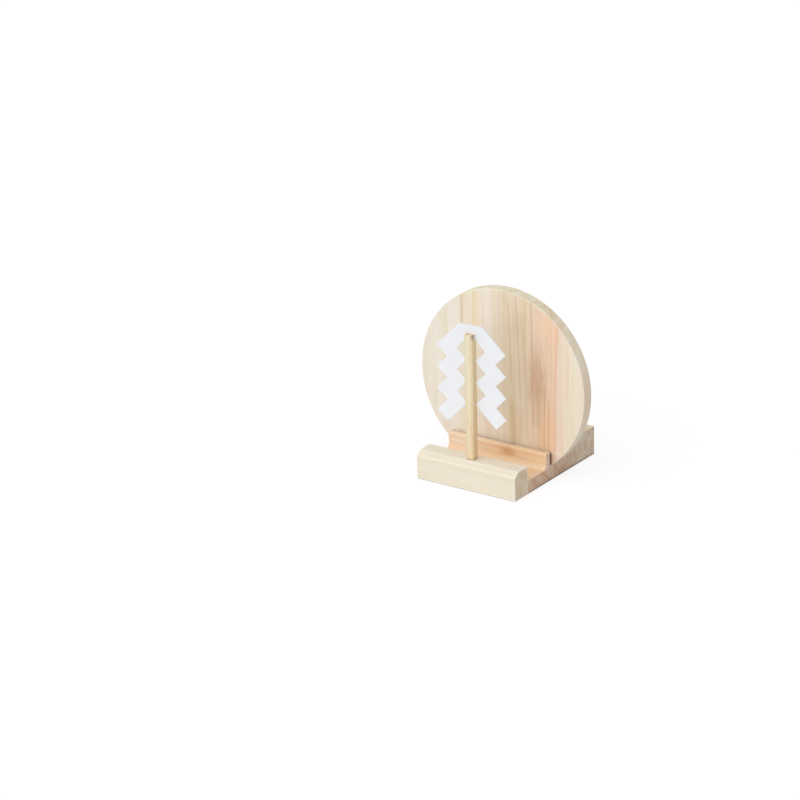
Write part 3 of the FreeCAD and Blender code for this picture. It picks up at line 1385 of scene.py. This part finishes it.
@dataclass
class Streamer:
    """The zigzag card, laid out on a square module by a rule."""

    module: float = 8.0 * MM
    teeth: int = 3
    arm_modules: int = 3
    inner_edge: float = 3.2 * MM
    top_half_width: float = 9.0 * MM
    edge_ease: float = 0.12 * MM
    ease_facets: int = 2
    eased_from: float = math.radians(40)
    stance: Stance = Stance()

    def points(self, wiring: Wiring, given: Sockets) -> tuple[Socket, Socket]:
        """Where each numbered point of the right half's outline goes.

        Point 0 is the middle of the top and point 1 the top's corner. From 2 on the outer edge
        runs down, two points for each tooth and two more. Then the inner edge runs up again, and
        the last point closes the half on the middle line, at the seat.

        Args:
            wiring: The tree's graph.
            given: Its inputs.

        Returns:
            The count of points, and each point's place in a flat drawing.
        """
        module, inner, seat = given["Module"], given["Inner Edge"], given["Seat Height"]
        top_half_width = given["Top Half Width"]
        index = wiring.first("GeometryNodeInputIndex")
        turns = wiring.math("MULTIPLY", given["Teeth"], 2.0)
        outer_end = wiring.math("ADD", turns, 4.0)
        last = wiring.math("ADD", wiring.math("ADD", outer_end, turns), 1.0)
        outer = wiring.math("ADD", inner, wiring.math("MULTIPLY", module, given["Arm Modules"]))
        shoulder = wiring.math("SUBTRACT", seat, module)
        top = wiring.math("SUBTRACT", wiring.math("ADD", shoulder, outer), top_half_width)

        down = wiring.math("SUBTRACT", index, 2.0)
        down_turn = wiring.math("MULTIPLY", wiring.math("MODULO", down, 2.0), module)
        outer_along = wiring.math("SUBTRACT", outer, down_turn)
        outer_height = wiring.math("SUBTRACT", shoulder, wiring.math("MULTIPLY", down, module))
        to_last = wiring.math("SUBTRACT", wiring.math("SUBTRACT", last, 1.0), index)
        up = wiring.math("MAXIMUM", to_last, 0.0)
        up_turn = wiring.math("MULTIPLY", wiring.math("MODULO", up, 2.0), module)
        inner_along = wiring.math("ADD", inner, up_turn)
        inner_height = wiring.math("SUBTRACT", seat, wiring.math("MULTIPLY", up, module))

        def before(limit: Feed, then: Feed, otherwise: Feed) -> Socket:
            """One value for points numbered below a limit and another for the rest."""
            test = wiring.math("LESS_THAN", index, limit)
            feeds = {"Switch": test, "False": otherwise, "True": then}
            return wiring.first("GeometryNodeSwitch", feeds, input_type="FLOAT")

        along = before(outer_end, outer_along, before(last, inner_along, 0.0))
        along = before(1.0, 0.0, before(2.0, top_half_width, along))
        height = before(2.0, top, before(outer_end, outer_height, inner_height))
        count = wiring.math("ADD", last, 1.0)
        return count, wiring.first("ShaderNodeCombineXYZ", {"X": along, "Y": height})

    def welded(self, wiring: Wiring, under: Socket, over: Socket) -> Socket:
        """Joins two shapes and makes the points one where they meet.

        Args:
            wiring: The tree's graph.
            under: One shape.
            over: The other.

        Returns:
            The socket with both.
        """
        both = wiring.node("GeometryNodeJoinGeometry", {0: under})
        wiring.feed(both.inputs[0], over)
        feeds = {"Geometry": both.outputs[0], "Distance": WELD_DISTANCE}
        return wiring.first("GeometryNodeMergeByDistance", feeds)

    def tree(self, values: dict[str, RuleValue]) -> bpy.types.NodeTree:
        """The Geometry Nodes tree that lays out, mirrors and thickens the card.

        Args:
            values: What its inputs will get, by their labels.

        Returns:
            The tree.
        """
        tree = bpy.data.node_groups.new("zigzag_rule", "GeometryNodeTree")
        for flow in ("INPUT", "OUTPUT"):
            tree.interface.new_socket("Geometry", in_out=flow, socket_type="NodeSocketGeometry")
        for label, value in values.items():
            kind = RULE_SOCKETS[type(value)]
            tree.interface.new_socket(label, in_out="INPUT", socket_type=kind)
        wiring = Wiring(tree)
        given = by_name(wiring.node("NodeGroupInput"))
        count, place = self.points(wiring, given)
        line = wiring.first("GeometryNodeMeshLine", {"Count": count})
        drawn = wiring.first("GeometryNodeSetPosition", {"Geometry": line, "Position": place})
        curve = wiring.first("GeometryNodeMeshToCurve", {0: drawn})
        closed = wiring.first("GeometryNodeSetSplineCyclic", {"Geometry": curve, "Cyclic": True})
        half = wiring.first("GeometryNodeFillCurve", {0: closed}, mode="NGONS")
        mirroring = {"Geometry": half, "Scale": (-1.0, 1.0, 1.0)}
        mirrored = wiring.first("GeometryNodeTransform", mirroring)
        whole = self.welded(wiring, half, wiring.first("GeometryNodeFlipFaces", {0: mirrored}))
        setback = wiring.first("ShaderNodeCombineXYZ", {"Y": given["Front"]})
        standing = {"Geometry": whole, "Rotation": (math.pi / 2, 0.0, 0.0), "Translation": setback}
        front = wiring.first("GeometryNodeTransform", standing)
        back = wiring.first("GeometryNodeFlipFaces", {0: front})
        thickening = {"Mesh": back, "Offset Scale": given["Thickness"], "Individual": False}
        card = self.welded(wiring, wiring.first("GeometryNodeExtrudeMesh", thickening), front)
        real = wiring.first("GeometryNodeRealizeInstances", {"Geometry": card})
        dressing = {"Geometry": real, "Material": given["Finish"]}
        finished = wiring.first("GeometryNodeSetMaterial", dressing)
        wiring.node("NodeGroupOutput", {"Geometry": finished})
        return tree

    def build(self) -> None:
        """Makes and dresses the card."""
        card = add_object("zigzag_streamer", bpy.data.meshes.new("zigzag_streamer"))
        finish = STREAMER_CARD.material()
        values = {
            "Module": self.module,
            "Teeth": self.teeth,
            "Arm Modules": self.arm_modules,
            "Inner Edge": self.inner_edge,
            "Top Half Width": self.top_half_width,
            "Seat Height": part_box("post")[1].z - self.stance.slot_depth,
            "Front": self.stance.card_front,
            "Thickness": self.stance.card_thickness,
            "Finish": finish,
        }
        rule = card.modifiers.new("zigzag_rule", "NODES")
        rule.node_group = self.tree(values)
        for socket in rule.node_group.interface.items_tree:
            if socket.name in values:
                rule[socket.identifier] = values[socket.name]
        easing = card.modifiers.new("eased_edges", "BEVEL")
        easing.width = self.edge_ease
        easing.segments = self.ease_facets
        easing.limit_method = "ANGLE"
        easing.angle_limit = self.eased_from
        settle(card)
        self.stance.place(card)
        hand_over(card, "streamer", finish)


# Camera, light and floor


@dataclass
class PhotoCamera:
    """The view of the photograph: where it looks, from which side and with which lens."""

    azimuth: float = math.radians(35.019)
    elevation: float = math.radians(21.359)
    roll: float = math.radians(-1.356)
    distance: float = 2.6754
    aim: Triple = (-0.05625, -0.04888, 0.05484)
    focal_pixels: float = 3816.7
    frame_pixels: float = 800.0
    sensor_width: float = 36.0
    nearest: float = 0.1
    farthest: float = 100.0

    def build(self) -> None:
        """Makes the camera and sets it as the scene's own."""
        side, rise = self.azimuth, self.elevation
        flat = math.cos(rise)
        back = Vector((math.sin(side) * flat, -math.cos(side) * flat, math.sin(rise)))
        level = (-back).cross(Vector((0, 0, 1))).normalized()
        upright = level.cross(-back)
        right = level * math.cos(self.roll) + upright * math.sin(self.roll)
        up = upright * math.cos(self.roll) - level * math.sin(self.roll)
        turn = Matrix((right, up, back)).transposed().to_4x4()
        data = bpy.data.cameras.new("photo_camera")
        data.sensor_width = self.sensor_width
        data.lens = self.focal_pixels * self.sensor_width / self.frame_pixels
        data.clip_start, data.clip_end = self.nearest, self.farthest
        camera = add_object("photo_camera", data)
        camera.matrix_world = Matrix.Translation(Vector(self.aim) + back * self.distance) @ turn
        bpy.context.scene.camera = camera


@dataclass
class Studio:
    """A white sweep with one broad soft lamp from the front and even fill."""

    floor_half_width: float = 30.0
    floor_gap: float = 0.02 * MM
    floor_seen: float = 0.24
    floor_glow: float = 0.81
    floor_bounce: float = 0.8
    lamp_direction: Triple = (-0.15, -1.0, 0.95)
    lamp_strength: float = 1.60
    lamp_spread: float = math.radians(90)
    fill: float = 0.505
    # The painted contact shadow on the floor: how far a neighbour counts, where it starts and is
    # full, and how much it dims
    painted_contact_shadow_reach: float = 1.4 * MM
    painted_contact_shadow_from: float = 0.85
    painted_contact_shadow_full: float = 0.5
    painted_contact_shadow_depth: float = 0.55

    def floor(self) -> None:
        """A pale floor that shows white, keeps the object's shadow, carries a painted contact
        shadow along the object's foot and bounces light.
        """
        shape = bmesh.new()
        bmesh.ops.create_grid(shape, x_segments=1, y_segments=1, size=self.floor_half_width)
        bmesh.ops.translate(shape, verts=shape.verts, vec=(0, 0, -self.floor_gap))
        mesh = bpy.data.meshes.new("studio_floor")
        shape.to_mesh(mesh)
        shape.free()
        floor = add_object("studio_floor", mesh)
        made, wiring = start_material("studio_floor")
        pale = (self.floor_seen, self.floor_seen, self.floor_seen, 1.0)
        bright = (self.floor_bounce, self.floor_bounce, self.floor_bounce, 1.0)
        # Painted contact shadow: the floor's glow is dimmed where the object closes in
        limits = {"Open From": self.painted_contact_shadow_from, "Tight From": self.painted_contact_shadow_full}
        contact = PAINTED_CREVICE_SHADE.place(wiring, {"Reach": self.painted_contact_shadow_reach, **limits})["Mask"]
        dimmed = wiring.math("MULTIPLY_ADD", contact, -self.painted_contact_shadow_depth, 1.0)
        shadowed = wiring.first("ShaderNodeBsdfDiffuse", {"Color": pale})
        strength = wiring.math("MULTIPLY", dimmed, self.floor_glow)
        glow = wiring.first("ShaderNodeEmission", {"Strength": strength})
        seen = wiring.first("ShaderNodeAddShader", {0: shadowed, 1: glow})
        bounce = wiring.first("ShaderNodeBsdfDiffuse", {"Color": bright})
        rays = by_name(wiring.node("ShaderNodeLightPath"))
        mixed = wiring.first("ShaderNodeMixShader", {0: rays["Is Camera Ray"], 1: bounce, 2: seen})
        wiring.node("ShaderNodeOutputMaterial", {"Surface": mixed})
        mesh.materials.append(made)

    def lamp(self) -> None:
        """The broad lamp."""
        data = bpy.data.lights.new("soft_lamp", "SUN")
        data.energy = self.lamp_strength
        data.angle = self.lamp_spread
        lamp = add_object("soft_lamp", data)
        lamp.rotation_mode = "QUATERNION"
        lamp.rotation_quaternion = Vector(self.lamp_direction).to_track_quat("Z", "Y")

    def surroundings(self) -> None:
        """Even fill on the object, and plain white where the background is seen."""
        world = bpy.data.worlds.new("studio")
        world.use_nodes = True
        world.node_tree.nodes.clear()
        wiring = Wiring(world.node_tree)
        white = (1.0, 1.0, 1.0, 1.0)
        fill = wiring.first("ShaderNodeBackground", {"Color": white, "Strength": self.fill})
        backdrop = wiring.first("ShaderNodeBackground", {"Color": white, "Strength": 1.0})
        rays = by_name(wiring.node("ShaderNodeLightPath"))
        mirrored = wiring.math("MAXIMUM", rays["Is Glossy Ray"], rays["Is Transmission Ray"])
        seen = wiring.math("MAXIMUM", rays["Is Camera Ray"], mirrored)
        mixed = wiring.first("ShaderNodeMixShader", {0: seen, 1: fill, 2: backdrop})
        wiring.node("ShaderNodeOutputWorld", {"Surface": mixed})
        bpy.context.scene.world = world

    def build(self) -> None:
        """Sets up floor, lamp and surroundings, and shows colours plainly."""
        self.floor()
        self.lamp()
        self.surroundings()
        bpy.context.scene.view_settings.view_transform = "Standard"


def main() -> None:
    """Builds the camera, the studio and every piece, in order."""
    logging.basicConfig(level=logging.INFO, format="%(name)s: %(message)s")
    PhotoCamera().build()
    Studio().build()
    Base().build()
    Backboard().build()
    Stick().build()
    Streamer().build()


if __name__ == "__main__":
    main()
